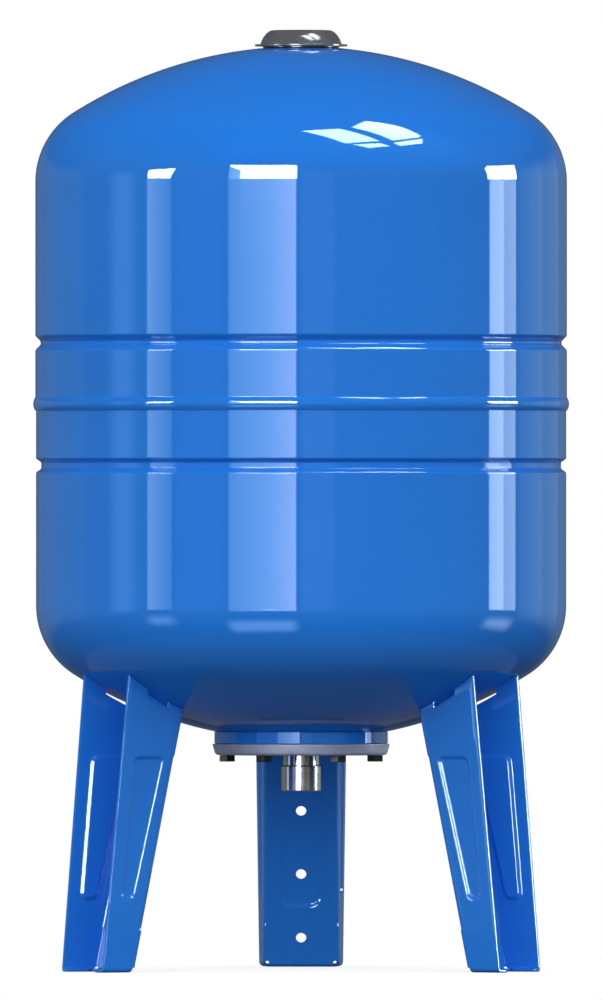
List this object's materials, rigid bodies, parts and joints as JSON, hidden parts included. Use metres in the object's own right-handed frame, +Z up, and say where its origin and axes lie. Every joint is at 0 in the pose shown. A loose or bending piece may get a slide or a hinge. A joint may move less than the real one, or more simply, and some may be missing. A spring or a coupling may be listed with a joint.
{
  "type": "well pressure tank",
  "caption": "Vertical well pressure tank with domed ends, rolled beads, a bolted bottom flange with a water nipple and pressed sheet legs.",
  "frame": {"origin": "on the tank's axis at floor level, under the feet", "axes": "+Z up along the tank's axis; +Y towards the rear leg, so that the picture looks along +Y"},
  "size_m": [0.4542, 0.453, 0.7967],
  "materials": {
    "blue_paint": "gloss blue powder paint",
    "galvanised_steel": "galvanised, satin",
    "bright_steel": "turned bright steel",
    "black_steel": "black oxide",
    "brass": "turned",
    "black_rubber": "matt",
    "dark_plastic": "dark grey, glossy"
  },
  "bodies": {
    "root": {"upper_shell": "blue_paint", "lower_shell": "blue_paint", "girth_weld": "blue_paint", "neck_ring": "blue_paint", "counter_flange": "galvanised_steel", "water_nipple": "bright_steel", "flange_bolt_1": "black_steel", "flange_bolt_2": "black_steel", "flange_bolt_3": "black_steel", "flange_bolt_4": "black_steel", "flange_bolt_5": "black_steel", "flange_bolt_6": "black_steel", "bladder": "black_rubber", "valve_stem": "brass", "valve_gasket": "black_rubber", "valve_nut": "brass", "valve_core": "brass", "valve_dust_cap": "dark_plastic", "valve_cover": "dark_plastic", "leg_rear": "blue_paint", "leg_left_front": "blue_paint", "leg_right_front": "blue_paint"}
  },
  "joints": []
}
